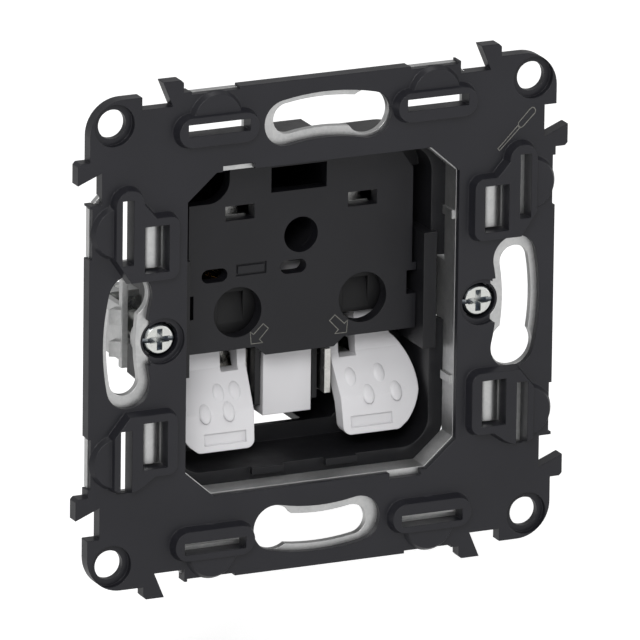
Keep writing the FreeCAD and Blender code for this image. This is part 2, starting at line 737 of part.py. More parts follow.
def make_plate_seat(body):
    """Recess in the back for the chassis plate, with notches for its edge lugs."""
    depth = s.steel_thick
    sketch = front_sketch(body, 0)
    reach = s.steel_half + s.seat_gap
    cut = s.steel_chamfer
    add_outline(sketch, eight_sides(reach, reach, cut, cut))
    pocket(body, sketch, depth, towards_front=True)
    sketch = front_sketch(body, 0)
    side = s.lug_half + s.seat_gap
    for place in (-s.pad_place, s.pad_place):
        add_box(sketch, place - side, place + side,
                s.steel_half - s.overcut, s.frame_side / 2 + s.overcut)
    notch = pocket(body, sketch, depth, towards_front=True)
    sketch = front_sketch(body, 0)
    for place in (-s.pad_place, s.pad_place):
        add_box(sketch, place - s.lug_half, place + s.lug_half,
                s.lug_reach - s.seat_gap, s.frame_side / 2 + s.overcut)
    edge = pocket(body, sketch, s.frame_thick, towards_front=True)
    turn_copies(body, [notch, edge], 4)


def make_clip_pads(body):
    """Raised pads round the clip slots and side windows, and the round bosses."""
    sketch = front_sketch(body, -s.frame_thick)
    for place in (-s.pad_place, s.pad_place):
        add_circle(sketch, place, s.disc_orbit, s.disc_radius)
    discs = pad(body, sketch, s.disc_rise, taper=-s.disc_slope)
    turn_copies(body, [discs], 4)
    plain = []
    for place in (-s.pad_place, s.pad_place):
        sketch = front_sketch(body, -s.frame_thick)
        add_obround(sketch, place, s.pad_orbit, s.pad_span, s.pad_half)
        plain.append(pad(body, sketch, s.pad_rise, taper=-s.pad_slope))
    turn_copies(body, plain, 2)
    wide = []
    for end, middle in ((1, s.grip_high), (-1, s.grip_low)):
        sketch = front_sketch(body, -s.frame_thick)
        add_hood(sketch, end, middle)
        wide.append(pad(body, sketch, s.pad_rise, taper=-s.pad_slope))
    mirror_copies(body, wide, "YZ_Plane")
    top = -s.frame_thick - s.pad_rise
    sketch = front_sketch(body, top)
    for place in (-s.pad_place, s.pad_place):
        add_box(sketch, place - s.clip_span, place + s.clip_span,
                s.clip_orbit - s.clip_half, s.clip_orbit + s.clip_half)
    slots = pocket(body, sketch, s.frame_thick + s.pad_rise)
    turn_copies(body, [slots], 4)
    sketch = front_sketch(body, top)
    for middle in (s.grip_high, -s.grip_low):
        for side in (-1, 1):
            across = side * s.grip_x
            add_box(sketch, across - s.grip_half_x, across + s.grip_half_x,
                    middle - s.grip_half_z, middle + s.grip_half_z)
    pocket(body, sketch, s.frame_thick + s.pad_rise)


def add_hood(sketch, end, middle):
    """One outline round a side window and the clip slot beside it, above or below."""
    turn = s.hood_round
    inner = s.grip_x - s.grip_half_x - s.grip_border_x
    left = s.pad_orbit - s.pad_half
    right = s.pad_orbit + s.pad_half
    tall = s.grip_half_z + s.grip_border_z
    near = middle - tall
    far = middle + tall
    tip = s.pad_place + s.pad_span
    root = s.pad_place - s.pad_span
    corners = [
        (inner + turn, near), (s.pad_orbit, near), (right, root), (right, tip, ROUND),
        (left, tip), (left - s.hood_slant, far), (inner + turn, far, turn),
        (inner, far - turn), (inner, near + turn, turn),
    ]
    if end < 0:
        corners = mirrored_down(corners)
    add_outline(sketch, corners)


def mirrored_down(corners):
    """The same outline upside down, run the same way round."""
    flipped = []
    count = len(corners)
    for place in range(count):
        start = corners[(count - place) % count]
        before = corners[(count - place - 1) % count]
        flipped.append((start[0], -start[1], *before[2:]))
    return flipped


def make_corner_holes(body):
    """Four corner holes, each in a dished ring."""
    sketch = front_sketch(body, -s.frame_thick)
    add_circle(sketch, s.hole_place, s.hole_place, s.dish_radius)
    dish = pocket(body, sketch, s.dish_deep)
    sketch = front_sketch(body, -s.frame_thick)
    add_circle(sketch, s.hole_place, s.hole_place, s.hole_radius)
    hole = pocket(body, sketch, s.frame_thick)
    turn_copies(body, [dish, hole], 4)


def make_frame_slots(body):
    """Four curved fixing slots and the two screw recesses that open into them."""
    sketch = front_sketch(body, -s.frame_thick)
    add_arc_slot(sketch, s.slot_orbit, s.slot_half, s.slot_narrow_at, s.slot_wide_at)
    slot = pocket(body, sketch, s.frame_thick)
    turn_copies(body, [slot], 4)
    sketch = front_sketch(body, s.collar_end)
    for side in (-1, 1):
        add_circle(sketch, side * s.claw_x, 0, s.collar_bore + s.collar_wall)
    pad(body, sketch, s.collar_end + s.frame_thick / 2)
    sketch = front_sketch(body, -s.frame_thick)
    for side in (-1, 1):
        add_circle(sketch, side * s.claw_x, 0, s.recess_radius)
    pocket(body, sketch, s.recess_deep)
    for side in (-1, 1):
        sketch = front_sketch(body, -s.frame_thick)
        low, high = across_pair(side, s.claw_x + s.throat_start, s.slot_orbit)
        add_box(sketch, low, high, -s.throat_half, s.throat_half)
        pocket(body, sketch, s.frame_thick - s.steel_thick)
    sketch = front_sketch(body, -s.frame_thick)
    for side in (-1, 1):
        add_circle(sketch, side * s.claw_x, 0, s.collar_bore)
    pocket(body, sketch, s.frame_thick + s.collar_end)


def make_chassis_plate():
    """Galvanised plate: slots, screw cups, folded rim, edge lugs and bulges."""
    body = new_body("chassis_plate")
    reach = s.steel_half
    cut = s.steel_chamfer
    sketch = front_sketch(body, 0)
    add_outline(sketch, eight_sides(reach, reach, cut, cut))
    pad(body, sketch, s.steel_thick)
    sketch = front_sketch(body, 0)
    for place in (-s.pad_place, s.pad_place):
        add_box(sketch, place - s.lug_half, place + s.lug_half,
                reach - s.overcut, s.lug_reach)
    lugs = pad(body, sketch, s.steel_thick)
    turn_copies(body, [lugs], 4)
    make_folded_rim(body)
    make_screw_cups(body)
    front = -s.steel_thick
    sketch = front_sketch(body, front)
    add_arc_slot(sketch, s.stud_orbit, s.stud_half, s.stud_narrow_at, s.keyhole_at)
    slot = pocket(body, sketch, s.steel_thick)
    sketch = front_sketch(body, front)
    add_circle(sketch, s.stud_orbit * sine(s.keyhole_at), s.stud_orbit * cosine(s.keyhole_at),
               s.keyhole_radius)
    keyhole = pocket(body, sketch, s.steel_thick)
    sketch = front_sketch(body, front)
    for place in (-s.pad_place, s.pad_place):
        add_box(sketch, place - s.clip_span - s.seat_gap, place + s.clip_span + s.seat_gap,
                s.clip_orbit - s.plate_clip_in, s.clip_orbit + s.plate_clip_out)
    clips = pocket(body, sketch, s.steel_thick)
    turn_copies(body, [slot, keyhole, clips], 4)
    make_bulges(body)
    return body


def make_bulges(body):
    """Rounded bulges of the plate that show in the frame's side windows."""
    half = s.hump_half
    radius = (half * half + s.hump_rise * s.hump_rise) / (s.hump_rise * 2)
    foot = -s.steel_thick
    inside = s.grip_half_z - s.rim_gap
    bulges = []
    for low in (s.grip_high - inside, -s.grip_low - inside):
        sketch = top_sketch(body, low)
        add_outline(sketch, [
            (s.grip_x - half, foot, radius), (s.grip_x + half, foot),
            (s.grip_x + half, foot / 2), (s.grip_x - half, foot / 2),
        ])
        bulges.append(pad(body, sketch, inside * 2))
    mirror_copies(body, bulges, "YZ_Plane")


def make_folded_rim(body):
    """Rim folded back round the opening, deeper beside the claws."""
    inner_x = s.housing_x + s.rim_gap
    inner_z = s.housing_z + s.rim_gap
    outer_x = inner_x + s.steel_thick
    outer_z = inner_z + s.steel_thick
    sketch = front_sketch(body, s.rim_end)
    add_outline(sketch, eight_sides(outer_x, outer_z, s.window_cut_x, s.window_cut_z))
    pad(body, sketch, s.rim_end)
    for side in (-1, 1):
        sketch = front_sketch(body, s.guide_end)
        low = s.guide_shift - s.guide_half
        high = s.guide_shift + s.guide_half
        near, far = across_pair(side, inner_x, outer_x)
        add_box(sketch, near, far, low, high)
        pad(body, sketch, s.guide_end)
    sketch = front_sketch(body, -s.steel_thick)
    add_outline(sketch, eight_sides(inner_x, inner_z, s.window_cut_x, s.window_cut_z))
    pocket(body, sketch, s.steel_thick + s.guide_end)
    make_pressed_ribs(body, inner_x)


def make_pressed_ribs(body, inner_x):
    """Short ribs pressed inwards from the rim's two long sides."""
    ribs = []
    for middle in (s.rib_upper, -s.rib_lower):
        sketch = front_sketch(body, s.rim_end)
        add_box(sketch, inner_x - s.rib_out, inner_x + s.rib_out,
                middle - s.rib_half, middle + s.rib_half)
        ribs.append(pad(body, sketch, s.rim_end + s.steel_thick / 2))
    mirror_copies(body, ribs, "YZ_Plane")


def cup_floor():
    """Depth of the pressed cups' floor, where the screw heads bear."""
    return s.head_y + s.head_thick + s.seat_gap / 2


def make_screw_cups(body):
    """Pressed cups that take the claw screw heads."""
    floor = cup_floor()
    outer = s.cup_radius + s.cup_wall
    back = floor + s.cup_wall
    sketch = front_sketch(body, back)
    for side in (-1, 1):
        add_circle(sketch, side * s.claw_x, 0, outer)
    pad(body, sketch, back)
    sketch = front_sketch(body, -s.steel_thick)
    for side in (-1, 1):
        add_circle(sketch, side * s.claw_x, 0, s.cup_radius)
    pocket(body, sketch, floor + s.steel_thick)
    sketch = front_sketch(body, -s.steel_thick)
    for side in (-1, 1):
        add_circle(sketch, side * s.claw_x, 0, s.screw_radius + s.rim_gap)
    pocket(body, sketch, back + s.steel_thick)


def make_rear_housing():
    """Open box in the wall box: flange, narrower rear part, blocks, ribs, posts and boss."""
    body = new_body("rear_housing")
    wall = s.housing_wall
    sketch = front_sketch(body, s.waist_y)
    add_round_box(sketch, s.housing_x, s.housing_z, s.housing_corner)
    pad(body, sketch, s.waist_y - s.housing_front)
    make_flange(body)
    sketch = front_sketch(body, s.housing_back)
    add_outline(sketch, tail_outline(0))
    pad(body, sketch, s.housing_back - s.waist_y + wall / 2)
    inner_x = s.housing_x - wall
    inner_z = s.housing_z - wall
    sketch = front_sketch(body, s.housing_front)
    add_round_box(sketch, inner_x, inner_z, s.housing_corner - wall)
    pocket(body, sketch, s.waist_y - wall - s.housing_front)
    sketch = front_sketch(body, s.housing_front)
    add_outline(sketch, tail_outline(wall))
    pocket(body, sketch, s.housing_back - s.housing_front)
    make_inner_walls(body, inner_z)
    make_holding_tabs(body)
    sketch = front_sketch(body, s.waist_y)
    low = -s.tail_z
    add_box(sketch, -s.escape_half, s.escape_half, low - s.overcut, low + s.escape_high)
    pocket(body, sketch, s.housing_back - s.waist_y)
    make_saddles(body)
    make_screw_boss(body)
    make_pin_bores(body)
    return body


def tail_outline(wall):
    """Eight corners of the housing's rear part, drawn in by a wall."""
    across = s.tail_x - wall
    tall = s.tail_z - wall
    cut_x = s.tail_cut_x - wall / 2
    high = tall - s.tail_cut_high + wall / 2
    low = tall - s.tail_cut_low + wall / 2
    return [
        (across, -low), (across, high), (across - cut_x, tall), (-across + cut_x, tall),
        (-across, high), (-across, -low), (-across + cut_x, -tall), (across - cut_x, -tall),
    ]


def make_flange(body):
    """Flange behind the plate's folded rim, with a gap for the rim's deeper stretches."""
    spread = s.rim_gap + s.steel_thick
    sketch = front_sketch(body, s.housing_front + s.flange_thick)
    add_round_box(sketch, s.housing_x + spread, s.housing_z + spread, s.housing_corner + spread)
    pad(body, sketch, s.flange_thick)
    low = s.guide_shift - s.guide_half - s.rim_gap
    high = s.guide_shift + s.guide_half + s.rim_gap
    sketch = front_sketch(body, s.housing_front)
    for side in (-1, 1):
        near, far = across_pair(side, s.housing_x, s.housing_x + spread + s.rim_gap)
        add_box(sketch, near, far, low, high)
    pocket(body, sketch, s.flange_thick)


def make_inner_walls(body, inner_z):
    """Side blocks, ribs beside the centre block, the insert's rests and corner posts."""
    wall = s.housing_wall
    edge = s.housing_x - wall / 2
    sketch = front_sketch(body, s.waist_y)
    add_box(sketch, s.block_x, edge, s.block_low, s.block_high)
    blocks = pad(body, sketch, s.waist_y - s.block_front)
    sketch = front_sketch(body, s.housing_back)
    add_box(sketch, s.rib_x, s.rib_x + s.rib_thick, s.rib_low, s.tail_z - wall / 2)
    ribs = pad(body, sketch, s.housing_back - s.rib_front)
    sketch = front_sketch(body, s.waist_y - wall / 2)
    add_box(sketch, s.rib_x, s.rib_x + s.rib_thick, s.clip_low, inner_z + wall / 2)
    rests = pad(body, sketch, s.waist_y - wall / 2 - s.insert_front - s.insert_thick)
    sketch = front_sketch(body, s.waist_y - wall / 2)
    top = s.housing_z - wall / 2
    low = s.post_z
    in_x = s.post_x
    turn = s.post_round
    corner = s.housing_corner
    add_outline(sketch, [
        (in_x, top), (in_x, low + turn, turn), (in_x + turn, low), (edge, low),
        (edge, top - corner, corner), (edge - corner, top),
    ])
    posts = pad(body, sketch, s.waist_y - wall / 2 - s.post_front)
    mirror_copies(body, [blocks, ribs, rests, posts], "YZ_Plane")


def make_holding_tabs(body):
    """Tabs that stand forward inside the plate's folded rim, above and below."""
    sketch = front_sketch(body, s.housing_front)
    for place in (-s.hook_at, s.hook_at):
        add_box(sketch, place - s.hook_half, place + s.hook_half,
                s.housing_z - s.housing_wall, s.housing_z)
    tabs = pad(body, sketch, s.hook_reach)
    mirror_copies(body, [tabs], "XY_Plane")


def make_screw_boss(body):
    """Boss between the ribs, with the bore for the cover screw."""
    front = s.insert_front + s.insert_thick
    sketch = front_sketch(body, s.housing_back)
    add_circle(sketch, 0, s.fixing_z, s.boss_radius)
    pad(body, sketch, s.housing_back - front)
    sketch = front_sketch(body, front)
    add_circle(sketch, 0, s.fixing_z, s.fixing_radius)
    pocket(body, sketch, s.boss_deep)
    sketch = front_sketch(body, front)
    add_circle(sketch, 0, s.fixing_z, s.pilot_radius)
    pocket(body, sketch, s.housing_back - front)


def make_saddles(body):
    """Ledges that stand in from the side blocks and carry the clamp springs."""
    top = s.leaf_top + s.seat_gap / 2
    sketch = front_sketch(body, s.leaf_back)
    for side in (-1, 1):
        low, high = across_pair(side, s.saddle_in, s.tail_x - s.housing_wall / 2)
        add_box(sketch, low, high, top, top + s.saddle_thick)
    pad(body, sketch, s.leaf_back - s.leaf_front)


def make_pin_bores(body):
    """Bores that hold the lever pins in the ribs and the side blocks."""
    sketch = side_sketch(body, 0)
    add_circle(sketch, s.pivot_y, s.pivot_z, s.lever_pin)
    before = body.Shape.Volume
    feature = body.newObject("PartDesign::Pocket", "pin_bores")
    feature.Profile = sketch
    feature.Midplane = True
    tie(feature, "Length", (s.block_x + s.overcut) * 2)
    doc.recompute()
    if not feature.Shape.Volume < before:
        raise ValueError("the pin bores cut nothing")


def make_rear_cover():
    """Plate that closes the housing, with the wire entries."""
    body = new_body("rear_cover")
    back = s.housing_back + s.cover_thick
    sketch = front_sketch(body, back)
    add_outline(sketch, tail_outline(0))
    pad(body, sketch, s.cover_thick)
    sketch = front_sketch(body, s.housing_back)
    low = -s.tail_z
    add_box(sketch, -s.escape_half, s.escape_half, low - s.overcut, low + s.escape_high)
    pocket(body, sketch, s.cover_thick)
    sketch = front_sketch(body, s.housing_back)
    for side in (-1, 1):
        for place in (s.wire_near, s.wire_far):
            add_circle(sketch, side * place, s.wire_z, s.wire_radius)
    pocket(body, sketch, s.cover_thick)
    return body


def make_front_insert():
    """Face with the pin holes, cover screw hole, hook windows and cut-outs."""
    body = new_body("front_insert")
    back = s.insert_front + s.insert_thick
    wide = s.insert_wing
    sketch = front_sketch(body, back)
    add_outline(sketch, [
        (-wide, s.insert_low), (-s.apron_step, s.insert_low),
        (-s.apron_half, s.apron_low), (s.apron_half, s.apron_low),
        (s.apron_step, s.insert_low), (wide, s.insert_low),
        (wide, s.latch_low), (s.latch_x, s.latch_low),
        (s.latch_x, s.latch_high), (wide, s.latch_high),
        (wide, s.wing_top), (s.insert_x, s.wing_top),
        (s.insert_x, s.insert_top - s.bevel_z), (s.insert_x - s.bevel_x, s.insert_top),
        (s.scoop_x, s.insert_top), (s.scoop_x, s.scoop_z + s.scoop_round, -s.scoop_round),
        (s.scoop_x - s.scoop_round, s.scoop_z), (-s.insert_x, s.scoop_z),
        (-s.insert_x, s.wing_top), (-wide, s.wing_top),
        (-wide, s.latch_high), (-s.latch_x, s.latch_high),
        (-s.latch_x, s.latch_low), (-wide, s.latch_low),
    ])
    pad(body, sketch, s.insert_thick)
    sketch = front_sketch(body, s.insert_front)
    for side in (-1, 1):
        add_circle(sketch, side * s.pin_pitch / 2, s.pin_z, s.pin_hole)
    add_circle(sketch, 0, s.fixing_z, s.fixing_radius)
    add_box(sketch, s.mouth_left, s.mouth_right, s.mouth_low, s.mouth_high)
    for side in (-1, 1):
        across = side * s.hook_x
        add_box(sketch, across - s.hook_window_x, across + s.hook_window_x,
                s.hook_z - s.hook_window_z, s.hook_z + s.hook_window_z)
    for place in (s.key_left, s.key_right):
        add_obround(sketch, place, s.key_z, s.key_span, s.key_radius)
    pocket(body, sketch, s.insert_thick)
    sketch = front_sketch(body, s.insert_front)
    half_x = s.label_half_x
    half_z = s.label_half_z
    line = s.label_line
    add_box(sketch, s.label_x - half_x, s.label_x + half_x, s.label_z - half_z, s.label_z + half_z)
    add_box(sketch, s.label_x - half_x + line, s.label_x + half_x - line,
            s.label_z - half_z + line, s.label_z + half_z - line)
    pocket(body, sketch, s.label_deep)
    sketch = front_sketch(body, back + s.ledge_deep)
    for side in (-1, 1):
        across = side * s.pin_pitch / 2
        add_box(sketch, across - s.ledge_half, across + s.ledge_half, s.ledge_low, s.ledge_high)
    pad(body, sketch, s.ledge_deep + s.insert_thick / 2)
    return body


def make_centre_block():
    """Light block between the levers."""
    body = new_body("centre_block")
    sketch = front_sketch(body, s.column_back)
    add_box(sketch, -s.column_x, s.column_x, s.column_low, s.column_top)
    pad(body, sketch, s.column_back - s.column_front)
    return body


def make_lever(label, side):
    """Wire-release lever: bowed outline, sloped face, hub, slot and test notch."""
    body = new_body(label)
    rear = s.pivot_y + s.hub_radius
    sketch = front_sketch(body, rear)
    corners = [
        (s.lever_in_low, s.lever_low), (s.lever_toe_x, s.lever_low),
        (s.lever_heel_x, s.lever_heel_z, s.lever_bow), (s.lever_neck_x, s.lever_neck_z),
        (s.lever_out_top, s.lever_top), (s.lever_in_top, s.lever_top),
    ]
    if side < 0:
        corners = [
            (-s.lever_in_low, s.lever_low), (-s.lever_toe_x, s.lever_low),
            (-s.lever_heel_x, s.lever_heel_z, -s.lever_bow), (-s.lever_neck_x, s.lever_neck_z),
            (-s.lever_out_top, s.lever_top), (-s.lever_in_top, s.lever_top),
        ]
    add_outline(sketch, corners)
    pad(body, sketch, rear)
    low_corners = [(side * s.lever_in_low, s.lever_low), (side * s.lever_toe_x, s.lever_low)]
    round_edges(body, depth_edges(body.Shape, low_corners), s.lever_round)
    wide = 4 * s.lever_heel_x
    below = s.lever_low - s.overcut
    above = s.lever_top + s.overcut
    sketch = side_sketch(body, 0)
    front = -s.lever_thick
    add_outline(sketch, [
        (front, below), (s.tip_y, below), (s.bend_y, s.bend_z),
        (s.slope_y, s.slope_z), (s.nose_y, above), (front, above),
    ])
    cut_across(body, sketch, wide)
    sketch = side_sketch(body, 0)
    thick = s.lever_thick
    behind = rear + s.overcut
    add_outline(sketch, [
        (behind, below), (behind, s.pivot_z - s.hub_radius),
        (s.pivot_y, s.pivot_z - s.hub_radius), (s.slope_y + thick, s.slope_z),
        (s.bend_y + thick, s.bend_z - thick / 2), (s.tip_y + thick, below),
    ])
    cut_across(body, sketch, wide)
    sketch = side_sketch(body, 0)
    add_outline(sketch, [
        (s.pivot_y, s.pivot_z + s.hub_radius), (behind, s.pivot_z + s.hub_radius),
        (behind, above), (s.pivot_y, above),
    ])
    cut_across(body, sketch, wide)
    add_lever_details(body, side)
    return body


def cut_across(body, sketch, wide):
    """A cut right across the part, from a side sketch."""
    before = body.Shape.Volume
    feature = body.newObject("PartDesign::Pocket", body.Name + "_cut")
    feature.Profile = sketch
    feature.Midplane = True
    tie(feature, "Length", wide)
    doc.recompute()
    if not feature.Shape.Volume < before:
        raise ValueError(body.Name + ": a cut removes nothing")


def add_lever_details(body, side):
    """Finger under the clamp spring, test notch, screwdriver slot and pivot bore."""
    low, high = across_pair(side, s.finger_x - s.finger_half, s.finger_x + s.finger_half)
    sketch = front_sketch(body, s.finger_end)
    add_box(sketch, low, high, s.finger_z - s.finger_half, s.finger_z + s.finger_half)
    pad(body, sketch, s.finger_end - s.slope_y)
    low, high = across_pair(side, s.test_in, s.test_out)
    sketch = front_sketch(body, 0)
    add_box(sketch, low, high, s.test_low, s.lever_top + s.overcut)
    pocket(body, sketch, s.pivot_y + s.hub_radius + s.overcut)
    low, high = across_pair(side, s.slit_in, s.slit_out)
    sketch = front_sketch(body, 0)
    add_box(sketch, low, high, s.slit_low, s.slit_high)
    middle = (s.slit_low + s.slit_high) / 2
    run = (middle - s.lever_low) / (s.bend_z - s.lever_low)
    pocket(body, sketch, s.tip_y + (s.bend_y - s.tip_y) * run + s.slit_deep)
    sketch = side_sketch(body, 0)
    add_circle(sketch, s.pivot_y, s.pivot_z, s.lever_pin + s.pin_clearance)
    cut_across(body, sketch, 4 * s.lever_heel_x)


def make_cylinder(label, radius, length, x, y, z, axis):
    """A plain round pin whose axis is one of the row axes."""
    pin = doc.addObject("Part::Cylinder", label)
    pin.Label = label
    tie(pin, "Radius", radius)
    tie(pin, "Height", length)
    turned = {"x": FreeCAD.Rotation(Vector(0, 1, 0), 90), "y": FreeCAD.Rotation(Vector(1, 0, 0), -90)}
    pin.Placement.Rotation = turned[axis]
    tie(pin, "Placement.Base.x", x)
    tie(pin, "Placement.Base.y", y)
    tie(pin, "Placement.Base.z", z)
    return pin


def make_lever_pin(label, side):
    """Pin of one lever, from the rib to the side block."""
    end = s.block_x + s.overcut
    low, high = across_pair(side, s.rib_x, end)
    return make_cylinder(label, s.lever_pin, high - low, low, s.pivot_y, s.pivot_z, "x")


def make_contact(label, side):
    """Sleeve of two leaves on a closed ring, with a tail to the terminal bar."""
    body = new_body(label)
    x = side * s.pin_pitch / 2
    outer = s.contact_bore + s.contact_wall
    long = s.contact_back - s.contact_front
    sketch = front_sketch(body, s.contact_back)
    add_circle(sketch, x, s.pin_z, outer)
    pad(body, sketch, long)
    low, high = across_pair(side, s.web_x + s.web_thick, s.pin_pitch / 2)
    sketch = front_sketch(body, s.contact_back + s.tail_thick)
    add_box(sketch, low, high, s.pin_z - s.tail_half, s.pin_z + s.tail_half)
    pad(body, sketch, s.tail_thick + s.contact_wall)
    sketch = front_sketch(body, s.contact_front)
    add_circle(sketch, x, s.pin_z, s.contact_bore)
    pocket(body, sketch, long - s.contact_wall)
    sketch = front_sketch(body, s.contact_front)
    add_box(sketch, x - s.contact_slit / 2, x + s.contact_slit / 2,
            s.pin_z - outer - s.overcut, s.pin_z + outer + s.overcut)
    pocket(body, sketch, long - s.contact_ring)
    return body


def make_terminal(label, side):
    """Bar from the contact to the wires, with the shelf that the wires are pressed on."""
    body = new_body(label)
    low, high = across_pair(side, s.web_x, s.web_x + s.web_thick)
    sketch = side_sketch(body, low)
    front = s.web_front if side > 0 else s.web_front_left
    add_outline(sketch, [
        (front, s.web_low), (s.web_back, s.web_low), (s.web_back, s.web_top),
        (s.web_step, s.web_top), (s.web_step, s.web_high), (front, s.web_high),
    ])
    pad(body, sketch, s.web_thick)
    low, high = across_pair(side, s.web_x + s.web_thick / 2, s.shelf_end)
    sketch = front_sketch(body, s.web_back)
    add_box(sketch, low, high, s.web_low, s.shelf_z)
    pad(body, sketch, s.web_back - s.shelf_front)
    return body


def make_clamp_spring(label, side):
    """Folded strip: an upper arm and two slanted leaves, one for each wire of a pole."""
    body = new_body(label)
    thick = s.leaf_thick
    top = s.leaf_top
    low, high = across_pair(side, s.wire_near - s.leaf_half, s.wire_far + s.leaf_half)
    sketch = side_sketch(body, low)
    add_outline(sketch, [
        (s.leaf_front, top - thick), (s.leaf_back - thick * 2, top - thick),
        (s.leaf_tip_y - thick, s.leaf_tip_z + thick), (s.leaf_tip_y, s.leaf_tip_z),
        (s.leaf_back, top - thick * 2), (s.leaf_back, top), (s.leaf_front, top),
    ])
    pad(body, sketch, high - low)
    gap = s.leaf_thick / 2
    low, high = across_pair(side, s.finger_x - s.finger_half - gap, s.finger_x + s.finger_half + gap)
    sketch = front_sketch(body, s.leaf_tip_y - s.overcut)
    add_box(sketch, low, high, s.leaf_tip_z - s.overcut, s.finger_z - s.finger_half)
    pocket(body, sketch, s.overcut + thick * 2)
    return body


def make_claw_screw(label, side):
    """Claw screw: pan head with cross and slot, plain core."""
    body = new_body(label)
    sketch = front_sketch(body, s.screw_end)
    x = side * s.claw_x
    add_circle(sketch, x, 0, s.screw_radius)
    under_head = s.head_y + s.head_thick
    pad(body, sketch, s.screw_end - under_head)
    sketch = front_sketch(body, under_head)
    add_circle(sketch, x, 0, s.head_radius)
    pad(body, sketch, s.head_thick)
    rim = edges_at_depth(body.Shape, s.head_y.value, lambda box: True)
    bevel_edges(body, rim, s.head_cut)
    sketch = front_sketch(body, s.head_y)
    reach = s.head_radius + s.overcut
    add_box(sketch, x - reach, x + reach, -s.drive_slot, s.drive_slot)
    pocket(body, sketch, s.drive_slot_deep)
    sketch = front_sketch(body, s.head_y)
    add_box(sketch, x - s.drive_blade, x + s.drive_blade, -s.drive_arm, s.drive_arm)
    pocket(body, sketch, s.drive_deep)
    sketch = front_sketch(body, s.head_y)
    add_box(sketch, x - s.drive_arm, x + s.drive_arm, -s.drive_blade, s.drive_blade)
    pocket(body, sketch, s.drive_deep)
    end = edges_at_depth(body.Shape, s.screw_end.value, lambda box: True)
    bevel_edges(body, end, s.tip_cut)
    return body


def make_claw_nut(label, side):
    """Square nut on the claw screw, with two trunnions for the claw."""
    body = new_body(label)
    x = side * s.claw_x
    back = s.nut_front + s.nut_thick
    sketch = front_sketch(body, back)
    add_box(sketch, x - s.nut_half, x + s.nut_half, -s.nut_half, s.nut_half)
    pad(body, sketch, s.nut_thick)
    sketch = top_sketch(body, 0)
    add_circle(sketch, x, (s.nut_front + back) / 2, s.trunnion_radius)
    pad_centred(body, sketch, s.claw_half * 2)
    sketch = front_sketch(body, s.nut_front)
    add_circle(sketch, x, 0, s.screw_radius + s.thread_clearance)
    pocket(body, sketch, s.nut_thick)
    return body


def make_claw(label, side):
    """Folded claw: web with front arms and two teeth, and two ears that turn on the nut."""
    body = new_body(label)
    ear = s.claw_half - s.claw_sheet
    low, high = across_pair(side, s.claw_out - s.claw_sheet, s.claw_out)
    sketch = side_sketch(body, low)
    shoulder = s.claw_front + s.claw_arm
    add_outline(sketch, [
        (s.claw_front, s.claw_low), (shoulder, s.claw_low), (shoulder, -s.claw_half),
        (s.claw_back, -s.claw_half), (s.claw_back, s.claw_half), (shoulder, s.claw_half),
        (shoulder, s.claw_high), (s.claw_front, s.claw_high),
    ])
    pad(body, sketch, s.claw_sheet)
    low, high = across_pair(side, s.claw_in, s.claw_out)
    sketch = front_sketch(body, s.claw_back)
    add_box(sketch, low, high, ear, s.claw_half)
    upper = pad(body, sketch, s.claw_back - s.ear_front)
    mirror_copies(body, [upper], "XY_Plane")
    outer = side * (s.claw_out - s.claw_sheet / 2)
    tip = side * (s.claw_out + s.tooth_reach)
    corners = [
        (outer, s.claw_front), (tip, s.claw_front + s.tooth_long / 2),
        (outer, s.claw_front + s.tooth_long),
    ]
    sketch = top_sketch(body, s.tooth_place - s.tooth_half)
    add_outline(sketch, corners)
    tooth = pad(body, sketch, s.tooth_half * 2)
    mirror_copies(body, [tooth], "XY_Plane")
    sketch = top_sketch(body, 0)
    x = side * s.claw_x
    y = s.nut_front + s.nut_thick / 2
    add_circle(sketch, x, y, s.trunnion_radius + s.thread_clearance)
    cut_across(body, sketch, s.claw_half * 4)
    return body


def make_cover_clip(label, side):
    """Folded strip behind a hook window, where the cover's hook snaps in."""
    body = new_body(label)
    front = s.insert_front + s.insert_thick
    strip = s.clip_strip
    sketch = side_sketch(body, side * s.hook_x - s.clip_half_x)
    add_outline(sketch, [
        (front, s.clip_high), (front, s.clip_high - strip),
        (s.clip_back - strip, s.clip_mid + strip), (s.clip_back - strip, s.clip_low + strip),
        (front, s.clip_low + strip), (front, s.clip_low), (s.clip_back, s.clip_low),
        (s.clip_back, s.clip_mid + strip * 2), (front + strip * 2, s.clip_high),
    ])
    pad(body, sketch, s.clip_half_x * 2)
    return body


def make_shutter():
    """Slide behind the pin holes, with a ramp for each pin."""
    body = new_body("shutter")
    front = s.insert_front + s.insert_thick + s.shutter_gap
    back = front + s.shutter_thick
    sketch = front_sketch(body, back)
    add_outline(sketch, [
        (-s.shutter_out, s.shutter_low), (s.shutter_in, s.shutter_low),
        (s.shutter_in, s.shutter_right_low), (s.shutter_out, s.shutter_right_low),
        (s.shutter_out, s.shutter_top), (s.shutter_in, s.shutter_top),
        (s.shutter_in, s.bar_top), (-s.shutter_in, s.bar_top),
        (-s.shutter_in, s.shutter_top), (-s.shutter_out, s.shutter_top),
    ])
    pad(body, sketch, s.shutter_thick)
    for side in (-1, 1):
        sketch = side_sketch(body, side * s.pin_pitch / 2)
        low = s.pin_z - s.ramp_high / 2
        high = s.pin_z + s.ramp_high / 2
        add_outline(sketch, [
            (front - s.overcut, low), (front, low),
            (front + s.ramp_deep, high), (front - s.overcut, high),
        ])
        cut_across(body, sketch, s.ramp_half * 2)
    return body


